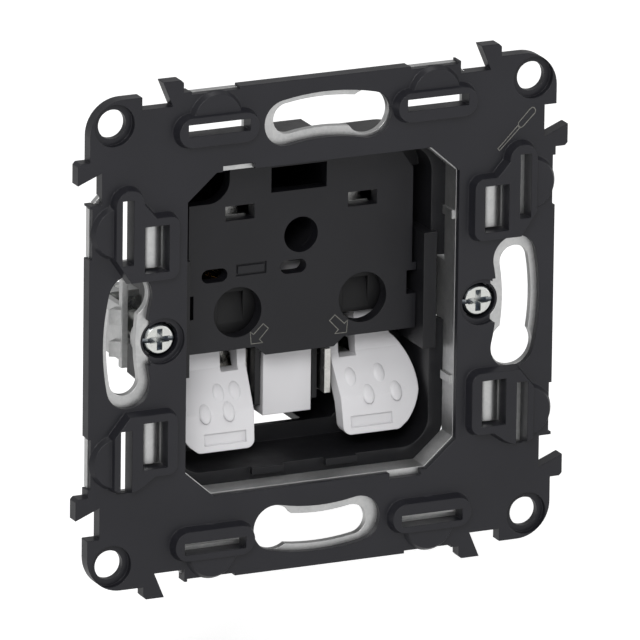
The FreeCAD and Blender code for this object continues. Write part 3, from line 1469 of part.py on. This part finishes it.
def make_shutter_springs():
    """Two coil springs between the shutter and the ledges behind the insert."""
    base = s.shutter_top.value + s.spring_wire.value
    top = s.ledge_low.value - s.spring_wire.value
    turns = s.spring_turns.value
    radius = s.spring_radius.value
    wire = s.spring_wire.value
    depth = (s.insert_front + s.insert_thick + s.shutter_gap + s.shutter_thick).value
    pitch = (top - base) / turns
    path = Part.makeHelix(pitch, top - base, radius)
    corners = [
        Vector(radius + wire * math.cos(math.radians(turn)), 0, wire * math.sin(math.radians(turn)))
        for turn in range(0, 360, 90)
    ]
    section = Part.makePolygon(corners + corners[:1])
    coil = Part.Wire(path.Edges).makePipeShell([section], True, True)
    coils = []
    for side in (-1, 1):
        one = coil.copy()
        one.translate(Vector(side * s.pin_pitch.value / 2, depth, base))
        coils.append(one)
    springs = doc.addObject("Part::Feature", "shutter_springs")
    springs.Label = "shutter_springs"
    springs.Shape = Part.makeCompound(coils)
    return springs


def build():
    pieces = [
        make_support_frame(), make_chassis_plate(), make_rear_housing(), make_rear_cover(),
        make_front_insert(), make_centre_block(), make_shutter(), make_shutter_springs(),
    ]
    for word, side in (("left", -1), ("right", 1)):
        pieces += [
            make_lever(word + "_lever", side),
            make_lever_pin(word + "_lever_pin", side),
            make_contact(word + "_contact", side),
            make_terminal(word + "_terminal", side),
            make_clamp_spring(word + "_clamp_spring", side),
            make_claw_screw(word + "_claw_screw", side),
            make_claw_nut(word + "_claw_nut", side),
            make_claw(word + "_claw", side),
            make_cover_clip(word + "_cover_clip", side),
        ]
    return pieces


def check(pieces):
    """Stop before anything is written if an object failed or a shape isn't sound."""
    doc.recompute()
    for item in doc.Objects:
        for word in ("Invalid", "Error"):
            if word in item.State:
                raise ValueError(item.Name + " is " + word)
    for piece in pieces:
        if piece.Shape.isNull() or not piece.Shape.isValid():
            raise ValueError(piece.Label + " has no sound shape")


def write(pieces):
    os.makedirs("parts", exist_ok=True)
    for piece in pieces:
        piece.Shape.exportStep("parts/%s.step" % piece.Label)


socket_pieces = build()
check(socket_pieces)
write(socket_pieces)
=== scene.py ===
import json
import math

import bmesh
import bpy
from mathutils import Matrix, Vector


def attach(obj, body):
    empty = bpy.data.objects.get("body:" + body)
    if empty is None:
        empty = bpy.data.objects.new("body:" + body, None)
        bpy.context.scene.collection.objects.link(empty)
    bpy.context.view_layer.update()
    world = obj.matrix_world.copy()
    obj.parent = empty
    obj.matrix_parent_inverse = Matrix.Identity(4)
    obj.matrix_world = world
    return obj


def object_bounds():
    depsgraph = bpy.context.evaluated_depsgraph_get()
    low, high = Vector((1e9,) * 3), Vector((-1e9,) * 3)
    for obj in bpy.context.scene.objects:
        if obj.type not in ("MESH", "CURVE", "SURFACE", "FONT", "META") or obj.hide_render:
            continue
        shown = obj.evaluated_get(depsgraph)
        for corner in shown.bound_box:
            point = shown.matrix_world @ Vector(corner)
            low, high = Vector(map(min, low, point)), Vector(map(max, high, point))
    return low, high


# Two-pin wall socket mechanism. Metres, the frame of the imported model: X right,
# Z up, Y into the wall.

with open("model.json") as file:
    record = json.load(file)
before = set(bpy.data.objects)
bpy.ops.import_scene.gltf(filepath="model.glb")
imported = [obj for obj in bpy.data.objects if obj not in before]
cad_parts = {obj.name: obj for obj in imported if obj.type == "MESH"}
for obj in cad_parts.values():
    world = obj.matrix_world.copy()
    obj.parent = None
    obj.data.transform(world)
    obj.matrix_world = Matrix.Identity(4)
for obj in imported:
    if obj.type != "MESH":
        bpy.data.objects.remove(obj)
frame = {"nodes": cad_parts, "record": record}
cad_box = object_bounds()

MM = 0.001


# ---------------------------------------------------------------- camera

AZIMUTH = -24.804
ELEVATION = 17.120
ROLL = 0.730
DISTANCE = 1930.9 * MM
AIM = Vector((0.0, -1.06, 0.0)) * MM
SLIDE_RIGHT = 0.0133 * MM
SLIDE_UP = -0.0118 * MM
PHOTO_SIDE = 640.0
FOCAL_PIXELS = 14000.0
SENSOR = 36.0


def add_camera():
    """The photograph's camera: far away, slightly rolled."""
    azimuth = math.radians(AZIMUTH)
    elevation = math.radians(ELEVATION)
    roll = math.radians(ROLL)
    back = Vector((
        math.sin(azimuth) * math.cos(elevation),
        -math.cos(azimuth) * math.cos(elevation),
        math.sin(elevation),
    ))
    right = Vector((math.cos(azimuth), math.sin(azimuth), 0.0))
    up = back.cross(right)
    rolled_right = right * math.cos(roll) + up * math.sin(roll)
    rolled_up = up * math.cos(roll) - right * math.sin(roll)
    data = bpy.data.cameras.new("photo_camera")
    data.sensor_width = SENSOR
    data.lens = FOCAL_PIXELS / PHOTO_SIDE * SENSOR
    camera = bpy.data.objects.new("photo_camera", data)
    bpy.context.scene.collection.objects.link(camera)
    place = AIM + back * DISTANCE + rolled_right * SLIDE_RIGHT + rolled_up * SLIDE_UP
    turn = Matrix((rolled_right, rolled_up, back)).transposed()
    camera.matrix_world = Matrix.Translation(place) @ turn.to_4x4()
    bpy.context.scene.camera = camera


# ---------------------------------------------------------------- material helpers

EDGE_SAMPLES = 6
PAINTED_SHADE_SAMPLES = 8


class Nodes:
    """Short calls for a material's node tree."""

    def __init__(self, name):
        self.material = bpy.data.materials.new(name)
        self.material.use_nodes = True
        self.tree = self.material.node_tree
        self.shader = self.tree.nodes["Principled BSDF"]
        coordinates = self.add("ShaderNodeTexCoord")
        self.place = coordinates.outputs["Object"]

    def add(self, kind, **settings):
        node = self.tree.nodes.new(kind)
        for key, value in settings.items():
            setattr(node, key, value)
        return node

    def link(self, source, target):
        self.tree.links.new(source, target)

    def noise(self, scale, detail=4.0, roughness=0.5):
        """Cloudy noise from 0 to 1; scale is in cells per metre."""
        node = self.add("ShaderNodeTexNoise")
        node.inputs["Scale"].default_value = scale
        node.inputs["Detail"].default_value = detail
        node.inputs["Roughness"].default_value = roughness
        self.link(self.place, node.inputs["Vector"])
        return node.outputs["Fac"]

    def cells(self, scale):
        """A flat grey value for each cell."""
        node = self.add("ShaderNodeTexVoronoi")
        node.inputs["Scale"].default_value = scale
        self.link(self.place, node.inputs["Vector"])
        grey = self.add("ShaderNodeRGBToBW")
        self.link(node.outputs["Color"], grey.inputs["Color"])
        return grey.outputs["Val"]

    def span(self, value, low, high, from_low=0.3, from_high=0.7):
        """A value stretched to a new span and kept inside it."""
        node = self.add("ShaderNodeMapRange")
        node.inputs["From Min"].default_value = from_low
        node.inputs["From Max"].default_value = from_high
        node.inputs["To Min"].default_value = low
        node.inputs["To Max"].default_value = high
        self.link(value, node.inputs["Value"])
        return node.outputs["Result"]

    def math(self, operation, first, second):
        """A sum or product of two values, each a number or a socket."""
        node = self.add("ShaderNodeMath", operation=operation)
        for socket, item in zip(node.inputs, (first, second)):
            if isinstance(item, float):
                socket.default_value = item
            else:
                self.link(item, socket)
        return node.outputs["Value"]

    def mixed(self, first, second, share):
        """Two values added, the second with its share and the first with the rest."""
        return self.math(
            "ADD", self.math("MULTIPLY", first, 1.0 - share),
            self.math("MULTIPLY", second, share))

    def painted_shade_openness(self, reach, closed, open_from):
        """0 in recesses and folds, 1 where the surface is open to its surroundings: a mask
        for shade painted into a colour.
        """
        node = self.add("ShaderNodeAmbientOcclusion", samples=PAINTED_SHADE_SAMPLES)
        node.inputs["Distance"].default_value = reach
        return self.span(node.outputs["AO"], 0.0, 1.0, closed, open_from)

    def shade(self, value, dark, light):
        """A colour between two, by a value from 0 to 1."""
        node = self.add("ShaderNodeMix", data_type="RGBA")
        node.inputs["A"].default_value = (*dark, 1.0)
        node.inputs["B"].default_value = (*light, 1.0)
        self.link(value, node.inputs["Factor"])
        return node.outputs["Result"]

    def bump(self, height, distance, normal):
        """A normal roughened by a height, on top of another normal."""
        node = self.add("ShaderNodeBump")
        node.inputs["Distance"].default_value = distance
        self.link(height, node.inputs["Height"])
        self.link(normal, node.inputs["Normal"])
        return node.outputs["Normal"]

    def soft_edges(self, radius):
        """Edges that catch the light as if slightly rounded."""
        node = self.add("ShaderNodeBevel", samples=EDGE_SAMPLES)
        node.inputs["Radius"].default_value = radius
        return node.outputs["Normal"]

    def set(self, name, value):
        self.shader.inputs[name].default_value = value

    def feed(self, name, source):
        self.link(source, self.shader.inputs[name])


# ---------------------------------------------------------------- materials

# Noise scales, in cells per metre.
CLOUDS = 90.0
SMUDGES = 400.0
GRAIN = 9000.0
CRYSTALS = 2600.0
SHEET_CLOUDS = 500.0
SHEET_SPOTS = 2200.0
SCUFFS = 1800.0
SHINE = 700.0
WEAR = 2500.0

SCUFF_DETAIL = 6.0
SCUFF_ROUGHNESS = 0.65
SCUFF_DEPTH = 0.0012 * MM
PLASTIC_SPECULAR = 0.32
SHEET_EDGE = 0.12 * MM
CLOUD_SHARE = 0.7
CRYSTAL_SHARE = 0.4
# Reach and span of the shade painted into the plated steel's recesses, and the scuffs' share
# of its tone.
PAINTED_SHADE_REACH = 0.9 * MM
PAINTED_SHADE_CLOSED = 0.45
PAINTED_SHADE_OPEN = 0.95
WORN_SHARE = 0.15
INK_DARK = (0.09, 0.09, 0.08)
INK_LIGHT = (0.16, 0.155, 0.14)
INK_ROUGHNESS = 0.6

# Dark tone, light tone, lowest and highest roughness, depth of the grain and
# width of the softened edges in millimetres.
PLASTICS = {
    "frame_plastic": (
        (0.0098, 0.0098, 0.0128), (0.0125, 0.0125, 0.016), 0.34, 0.42, 0.006, 0.2),
    "insert_plastic": (
        (0.0062, 0.0062, 0.008), (0.0082, 0.0082, 0.0104), 0.38, 0.46, 0.005, 0.12),
    "housing_plastic": (
        (0.0075, 0.0075, 0.0088), (0.0098, 0.0098, 0.0114), 0.32, 0.42, 0.005, 0.2),
    "shutter_plastic": (
        (0.0028, 0.0028, 0.0032), (0.004, 0.004, 0.0046), 0.42, 0.5, 0.004, 0.1),
    "light_plastic": (
        (0.575, 0.57, 0.585), (0.615, 0.61, 0.625), 0.38, 0.46, 0.003, 0.2),
}

# Dark tone, light tone, lowest and highest roughness.
SHEETS = {
    "galvanised_steel": ((0.5, 0.505, 0.505), (0.6, 0.6, 0.595), 0.4, 0.46),
}

# Painted shade tone for the recesses, light tone, lowest and highest roughness, edges in
# millimetres.
PLATED = {
    "zinc_steel": ((0.09, 0.11, 0.14), (0.72, 0.73, 0.7), 0.16, 0.3, 0.14),
}

# Dark tone, light tone, lowest and highest roughness, edges in millimetres.
TURNED = {
    "spring_steel": ((0.5, 0.5, 0.49), (0.64, 0.64, 0.63), 0.2, 0.3, 0.05),
    "clip_steel": ((0.6, 0.6, 0.59), (0.76, 0.76, 0.75), 0.14, 0.24, 0.05),
    "pin_steel": ((0.5, 0.5, 0.5), (0.64, 0.64, 0.64), 0.2, 0.3, 0.05),
    "tinned_brass": ((0.52, 0.515, 0.49), (0.68, 0.67, 0.64), 0.16, 0.3, 0.08),
    "contact_alloy": ((0.6, 0.45, 0.22), (0.75, 0.58, 0.3), 0.2, 0.32, 0.05),
}


def moulded_plastic(name, dark, light, rough_low, rough_high, grain, edge):
    """Moulded plastic: cloudy tone, fine grain, softened edges."""
    m = Nodes(name)
    clouds = m.noise(CLOUDS, detail=3.0)
    m.feed("Base Color", m.shade(m.span(clouds, 0.0, 1.0), dark, light))
    smudges = m.noise(SMUDGES, detail=5.0)
    m.feed("Roughness", m.span(smudges, rough_low, rough_high))
    fine = m.noise(GRAIN, detail=2.0)
    m.feed("Normal", m.bump(fine, grain * MM, m.soft_edges(edge * MM)))
    m.set("Specular IOR Level", PLASTIC_SPECULAR)
    return m.material


def galvanised_sheet(name, dark, light, rough_low, rough_high):
    """Zinc coated sheet: fine crystals and faint clouds, with an uneven shine."""
    m = Nodes(name)
    crystals = m.cells(CRYSTALS)
    clouds = m.noise(SHEET_CLOUDS, detail=6.0)
    tone = m.mixed(crystals, clouds, CLOUD_SHARE)
    m.feed("Base Color", m.shade(m.span(tone, 0.0, 1.0), dark, light))
    spots = m.noise(SHEET_SPOTS, detail=3.0)
    dullness = m.mixed(spots, crystals, CRYSTAL_SHARE)
    m.feed("Roughness", m.span(dullness, rough_low, rough_high))
    m.feed("Normal", m.soft_edges(SHEET_EDGE))
    m.set("Metallic", 1.0)
    return m.material


def scuffed_metal(m, scuffs, tone, dark, light, rough_low, rough_high, edge):
    """The sockets that plated and turned metal share."""
    m.feed("Base Color", m.shade(tone, dark, light))
    m.feed("Roughness", m.span(m.noise(SHINE), rough_low, rough_high))
    m.feed("Normal", m.bump(scuffs, SCUFF_DEPTH, m.soft_edges(edge * MM)))
    m.set("Metallic", 1.0)
    return m.material


def plated_steel(name, painted_shade_tone, *rest):
    """Zinc plated steel with small scuffs, and painted shade that darkens its recesses and
    folds.
    """
    m = Nodes(name)
    scuffs = m.noise(SCUFFS, SCUFF_DETAIL, SCUFF_ROUGHNESS)
    painted_shade_openness = m.painted_shade_openness(PAINTED_SHADE_REACH, PAINTED_SHADE_CLOSED, PAINTED_SHADE_OPEN)
    # The tone is mostly painted shade from ambient occlusion, with a small share of scuff
    # wear.
    tone = m.mixed(painted_shade_openness, m.span(scuffs, 0.0, 1.0), WORN_SHARE)
    return scuffed_metal(m, scuffs, tone, painted_shade_tone, *rest)


def turned_metal(name, dark, *rest):
    """Plated or drawn metal with small scuffs."""
    m = Nodes(name)
    scuffs = m.noise(SCUFFS, SCUFF_DETAIL, SCUFF_ROUGHNESS)
    return scuffed_metal(m, scuffs, m.span(scuffs, 0.0, 1.0), dark, *rest)


def make_materials():
    """One material for each of the record's slots."""
    materials = {}
    for recipe, table in (
            (moulded_plastic, PLASTICS), (galvanised_sheet, SHEETS), (plated_steel, PLATED),
            (turned_metal, TURNED)):
        for name, values in table.items():
            materials[name] = recipe(name, *values)
    return materials


def marking_ink():
    """The pale tone of the engraved signs."""
    m = Nodes("marking")
    wear = m.noise(WEAR)
    m.feed("Base Color", m.shade(m.span(wear, 0.0, 1.0), INK_DARK, INK_LIGHT))
    m.set("Roughness", INK_ROUGHNESS)
    return m.material


def dress_nodes(materials):
    """Every CAD node gets the material of its slot."""
    for subpart in frame["record"]["subparts"]:
        node = frame["nodes"][subpart["node"]]
        node.data.materials.clear()
        node.data.materials.append(materials[subpart["material_slot"]])


# ---------------------------------------------------------------- pieces

# The lever's face bends at one height and slopes from there to another.
LEVER_BEND = Vector((0.0, 6.0, -14.2)) * MM
LEVER_SLOPE_TOP = Vector((0.0, 9.4, -8.6)) * MM
LEVER_TIP_SLOPE = 0.19
BUMP_LONG = 1.5 * MM
BUMP_WIDE = 0.95 * MM
BUMP_HIGH = 0.28 * MM
BUMP_SUNK = 0.7
BUMP_RINGS = 8
BUMP_SIDES = 32
RIGHT_BUMPS = [(8.7, -11.7), (13.1, -11.6), (10.9, -14.0), (15.1, -14.0)]
LEFT_BUMPS = [(-11.4, -11.7), (-8.9, -11.6), (-14.0, -14.0), (-10.4, -14.0)]


def new_piece(name, bm, material, body, smooth=True):
    """A mesh piece that rides on a body and has the look of a slot."""
    mesh = bpy.data.meshes.new(name)
    bm.to_mesh(mesh)
    bm.free()
    for face in mesh.polygons:
        face.use_smooth = smooth
    piece = bpy.data.objects.new(name, mesh)
    bpy.context.scene.collection.objects.link(piece)
    mesh.materials.append(material)
    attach(piece, body)
    return piece


def lever_face(x, z):
    """The point of a lever's face at x and z, its normal, and its direction uphill."""
    z = z * MM
    run = (z - LEVER_BEND.z) / (LEVER_SLOPE_TOP.z - LEVER_BEND.z)
    point = LEVER_BEND.lerp(LEVER_SLOPE_TOP, run)
    if run < 0:
        point = Vector((0.0, LEVER_BEND.y + (z - LEVER_BEND.z) * LEVER_TIP_SLOPE, z))
        uphill = Vector((0.0, LEVER_TIP_SLOPE, 1.0)).normalized()
    else:
        uphill = (LEVER_SLOPE_TOP - LEVER_BEND).normalized()
    point.x = x * MM
    normal = Vector((1.0, 0.0, 0.0)).cross(uphill)
    if normal.y > 0:
        normal = -normal
    return point, normal, uphill


def add_lever_bumps(name, places, materials, body):
    """Low oval domes on a lever's face, for grip."""
    bm = bmesh.new()
    for x, z in places:
        point, normal, uphill = lever_face(x, z)
        across = Vector((1.0, 0.0, 0.0))
        previous = None
        for ring in range(BUMP_RINGS + 1):
            angle = math.radians(90.0) * ring / BUMP_RINGS
            flat = math.cos(angle)
            high = BUMP_HIGH * ((1.0 + BUMP_SUNK) * math.sin(angle) - BUMP_SUNK)
            centre = point + normal * high
            if ring == BUMP_RINGS:
                loop = [bm.verts.new(centre)]
            else:
                loop = [
                    bm.verts.new(
                        centre
                        + across * (BUMP_WIDE * flat * math.cos(turn))
                        + uphill * (BUMP_LONG * flat * math.sin(turn)))
                    for turn in (math.tau * k / BUMP_SIDES for k in range(BUMP_SIDES))
                ]
            if previous is None:
                bm.faces.new(list(reversed(loop)))
            else:
                for k in range(BUMP_SIDES):
                    after = (k + 1) % BUMP_SIDES
                    upper = loop if len(loop) == 1 else (loop[after], loop[k])
                    bm.faces.new((previous[k], previous[after], *upper))
            previous = loop
    bmesh.ops.recalc_face_normals(bm, faces=bm.faces)
    new_piece(name, bm, materials["light_plastic"], body)


# Outlines are points at X and Z, in millimetres.
MARK_LINE = 0.12 * MM
MARK_HIGH = 0.03 * MM
MARK_BLUNT = 0.5
FRAME_FACE = -2.0 * MM
INSERT_FACE = 5.5 * MM
ARROW_MIDDLE = -0.15
ARROW = [
    (5.45, -1.75), (4.65, -2.5), (6.0, -3.95), (5.5, -4.48), (7.25, -4.48), (7.4, -2.75),
    (6.9, -3.15),
]
DRIVER_HANDLE = [
    (29.4, 25.35), (31.1, 27.1), (31.45, 27.35), (31.8, 27.25), (32.0, 26.85), (31.9, 26.5),
    (30.1, 24.75), (29.75, 24.6), (29.4, 24.95),
]
DRIVER_BLADE = [
    (29.3, 24.95), (27.05, 22.65), (26.3, 21.95), (26.55, 21.65), (27.3, 22.35), (29.6, 24.6),
]


def add_outline_marks(name, outlines, face, material):
    """Closed outlines drawn as thin raised lines on a face that looks at the room."""
    bm = bmesh.new()
    for outline in outlines:
        points = [Vector((x, 0.0, z)) * MM for x, z in outline]
        count = len(points)
        rings = []
        for place in range(count):
            before = (points[place] - points[place - 1]).normalized()
            after = (points[(place + 1) % count] - points[place]).normalized()
            side = Vector((-before.z, 0.0, before.x)) + Vector((-after.z, 0.0, after.x))
            side = side / max(side.length_squared / 2, MARK_BLUNT)
            reach = side * (MARK_LINE / 2)
            rings.append([
                bm.verts.new(points[place] + reach * way + Vector((0.0, face + depth, 0.0)))
                for way, depth in (
                    (-1, MARK_HIGH), (-1, -MARK_HIGH), (1, -MARK_HIGH), (1, MARK_HIGH))
            ])
        for place in range(count):
            ring = rings[place]
            other = rings[(place + 1) % count]
            for k in range(len(ring)):
                after = (k + 1) % len(ring)
                bm.faces.new((ring[k], ring[after], other[after], other[k]))
    bmesh.ops.recalc_face_normals(bm, faces=bm.faces)
    new_piece(name, bm, material, "socket_body", smooth=False)


def add_marks():
    """Two arrows on the insert and a screwdriver sign on the frame."""
    ink = marking_ink()
    right = [(x + ARROW_MIDDLE, z) for x, z in ARROW]
    left = [(-x + ARROW_MIDDLE, z) for x, z in ARROW]
    add_outline_marks("arrow_marks", [left, right], INSERT_FACE, ink)
    add_outline_marks(
        "screwdriver_mark", [DRIVER_HANDLE, DRIVER_BLADE], FRAME_FACE, ink)


def add_pieces(materials):
    """What the CAD leaves to the scene: the signs and the levers' grip."""
    add_marks()
    add_lever_bumps("right_lever_bumps", RIGHT_BUMPS, materials, "right_lever_body")
    add_lever_bumps("left_lever_bumps", LEFT_BUMPS, materials, "left_lever_body")


# ---------------------------------------------------------------- light and floor

WHITE = (1.0, 1.0, 1.0, 1.0)
WORLD_STRENGTH = 0.45
FLOOR_DROP = 24.0 * MM
FLOOR_SIDE = 6.0
FLOOR_COLOUR = (0.9, 0.9, 0.9, 1.0)
FLOOR_ROUGHNESS = 0.8
FLOOR_LIFT = 0.45
# Name, place in metres, width in metres, power in watts.
LAMPS = [
    ("key", (-0.55, -0.9, 0.65), 0.5, 8.5),
    ("fill", (0.9, -0.7, 0.25), 0.6, 2.2),
    ("top", (0.1, -0.15, 1.1), 0.6, 2.6),
]


def white_for_camera(tree, plain):
    """A background that camera rays see as plain white light."""
    path = tree.nodes.new("ShaderNodeLightPath")
    glow = tree.nodes.new("ShaderNodeBackground")
    glow.inputs["Color"].default_value = WHITE
    glow.inputs["Strength"].default_value = 1.0
    mix = tree.nodes.new("ShaderNodeMixShader")
    tree.links.new(path.outputs["Is Camera Ray"], mix.inputs[0])
    tree.links.new(plain.outputs[0], mix.inputs[1])
    tree.links.new(glow.outputs[0], mix.inputs[2])
    return mix


def add_world():
    """A plain bright room, white where the camera looks past the object."""
    world = bpy.data.worlds.new("studio")
    world.use_nodes = True
    bpy.context.scene.world = world
    tree = world.node_tree
    plain = tree.nodes["Background"]
    plain.inputs["Color"].default_value = WHITE
    plain.inputs["Strength"].default_value = WORLD_STRENGTH
    mix = white_for_camera(tree, plain)
    tree.links.new(mix.outputs[0], tree.nodes["World Output"].inputs["Surface"])


def add_lamps():
    """Soft round lamps that point at the object."""
    for name, place, side, power in LAMPS:
        data = bpy.data.lights.new(name, "AREA")
        data.shape = "DISK"
        data.size = side
        data.energy = power
        lamp = bpy.data.objects.new(name, data)
        bpy.context.scene.collection.objects.link(lamp)
        lamp.location = place
        lamp.rotation_euler = (-Vector(place)).to_track_quat("-Z", "Y").to_euler()


def floor_material():
    """A pale floor that camera rays see a little lighter, with the object's shadow kept."""
    material = bpy.data.materials.new("pale_floor")
    material.use_nodes = True
    shader = material.node_tree.nodes["Principled BSDF"]
    shader.inputs["Base Color"].default_value = FLOOR_COLOUR
    shader.inputs["Roughness"].default_value = FLOOR_ROUGHNESS
    tree = material.node_tree
    path = tree.nodes.new("ShaderNodeLightPath")
    glow = tree.nodes.new("ShaderNodeEmission")
    glow.inputs["Color"].default_value = WHITE
    lift = tree.nodes.new("ShaderNodeMath")
    lift.operation = "MULTIPLY"
    lift.inputs[1].default_value = FLOOR_LIFT
    tree.links.new(path.outputs["Is Camera Ray"], lift.inputs[0])
    tree.links.new(lift.outputs[0], glow.inputs["Strength"])
    both = tree.nodes.new("ShaderNodeAddShader")
    tree.links.new(shader.outputs[0], both.inputs[0])
    tree.links.new(glow.outputs[0], both.inputs[1])
    tree.links.new(both.outputs[0], tree.nodes["Material Output"].inputs["Surface"])
    return material


def add_floor():
    """One big plain square below the object."""
    low = cad_box[0][2] - FLOOR_DROP
    half = FLOOR_SIDE / 2
    mesh = bpy.data.meshes.new("floor")
    corners = [(-half, -half, low), (half, -half, low), (half, half, low), (-half, half, low)]
    mesh.from_pydata(corners, [], [(0, 1, 2, 3)])
    mesh.materials.append(floor_material())
    floor = bpy.data.objects.new("floor", mesh)
    bpy.context.scene.collection.objects.link(floor)


materials = make_materials()
dress_nodes(materials)
add_pieces(materials)
add_camera()
add_world()
add_lamps()
add_floor()
bpy.context.scene.view_settings.view_transform = "Standard"
